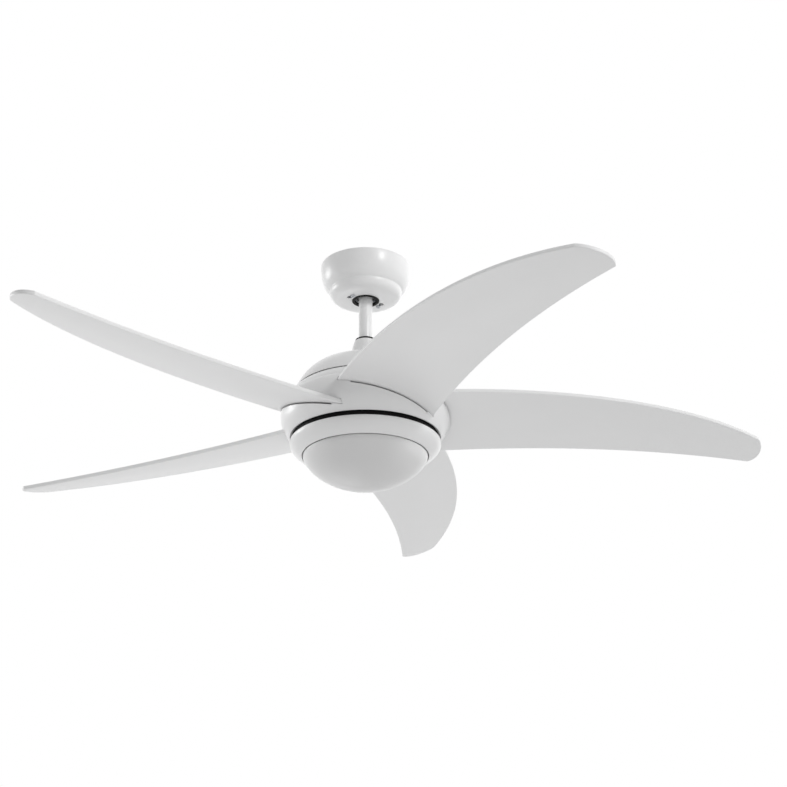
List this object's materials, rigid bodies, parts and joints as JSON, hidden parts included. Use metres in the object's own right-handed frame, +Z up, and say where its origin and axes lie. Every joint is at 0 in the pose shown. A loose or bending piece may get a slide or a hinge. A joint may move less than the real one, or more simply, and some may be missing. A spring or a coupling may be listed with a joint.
{
  "type": "ceiling fan with light",
  "caption": "White ceiling fan with long swept blades, a short downrod under a stepped canopy, and a frosted glass dome light.",
  "frame": {"origin": "on the ceiling plane, midway between the two slotted holes of the hanger bracket, on the fan's axis", "axes": "+Z up into the ceiling along the fan's axis, +X along the bracket through both slotted holes"},
  "size_m": [1.2392, 1.2378, 0.3845],
  "materials": {
    "white_paint": "semi-gloss white powder coat",
    "reflector_white": "gloss white enamel",
    "blade_white": "satin white lacquer on fibreboard",
    "opal_glass": "frosted opal white glass",
    "bulb_white": "opal lamp envelope",
    "black_rubber": "moulded black rubber",
    "black_plastic": "moulded black plastic",
    "black_paint": "matt black paint",
    "ivory_plastic": "moulded ivory plastic",
    "brass": "bare brass",
    "zinc_steel": "zinc plated",
    "bracket_steel": "galvanised sheet steel",
    "bearing_steel": "ground steel",
    "cast_aluminium": "die cast",
    "lamination_steel": "varnished electrical steel",
    "copper_winding": "enamelled copper wire"
  },
  "bodies": {
    "ceiling_mount": {"hanger_bracket": "bracket_steel", "canopy": "white_paint", "canopy_collar": "black_rubber", "canopy_screws": "zinc_steel", "receiver_box": "black_plastic", "terminal_block": "ivory_plastic", "earth_screw": "brass"},
    "hanger": {"hanger_ball": "black_plastic", "ball_pin": "zinc_steel", "ball_set_screw": "zinc_steel", "downrod": "white_paint", "yoke": "bracket_steel", "yoke_pin": "zinc_steel", "yoke_clip": "zinc_steel", "yoke_set_screws": "zinc_steel", "upper_housing": "white_paint", "upper_housing_screws": "zinc_steel", "motor_shaft": "bearing_steel", "stator_core": "lamination_steel", "stator_windings": "copper_winding", "capacitor": "black_plastic", "light_kit_plate": "black_paint", "shaft_nut": "zinc_steel", "light_ring": "white_paint", "light_ring_screws": "zinc_steel", "lamp_pan": "reflector_white", "lamp_pan_screws": "zinc_steel", "lamp_holder_1": "ivory_plastic", "lamp_holder_2": "ivory_plastic", "bulb_1": "bulb_white", "bulb_2": "bulb_white"},
    "rotor": {"rotor_housing": "white_paint", "rotor_top_cover": "white_paint", "motor_top_shell": "cast_aluminium", "motor_bottom_shell": "cast_aluminium", "upper_bearing": "bearing_steel", "lower_bearing": "bearing_steel", "rotor_cage": "lamination_steel", "motor_screws": "zinc_steel", "housing_screws": "zinc_steel", "bracket_screws": "zinc_steel", "blade_screws": "zinc_steel", "blade_bracket_1": "bracket_steel", "blade_bracket_2": "bracket_steel", "blade_bracket_3": "bracket_steel", "blade_bracket_4": "bracket_steel", "blade_bracket_5": "bracket_steel", "blade_1": "blade_white", "blade_2": "blade_white", "blade_3": "blade_white", "blade_4": "blade_white", "blade_5": "blade_white"},
    "cover": {"yoke_cover": "white_paint", "cover_bush": "black_rubber"},
    "shade": {"glass_dome": "opal_glass"}
  },
  "joints": [
    {"name": "hanger_tilt", "type": "hinge", "parent": "ceiling_mount", "child": "hanger", "pos_m": [0, 0, -0.038], "axis": [0, 1, 0], "range_deg": [-12, 12]},
    {"name": "fan_spin", "type": "hinge", "parent": "hanger", "child": "rotor", "pos_m": [0, 0, -0.229], "axis": [0, 0, 1], "continuous": true},
    {"name": "cover_slide", "type": "slide", "parent": "hanger", "child": "cover", "axis": [0, 0, 1], "range_m": [0, 0.06]},
    {"name": "shade_twist", "type": "hinge", "parent": "hanger", "child": "shade", "pos_m": [0, 0, -0.3215], "axis": [0, 0, -1], "range_deg": [0, 30]}
  ]
}
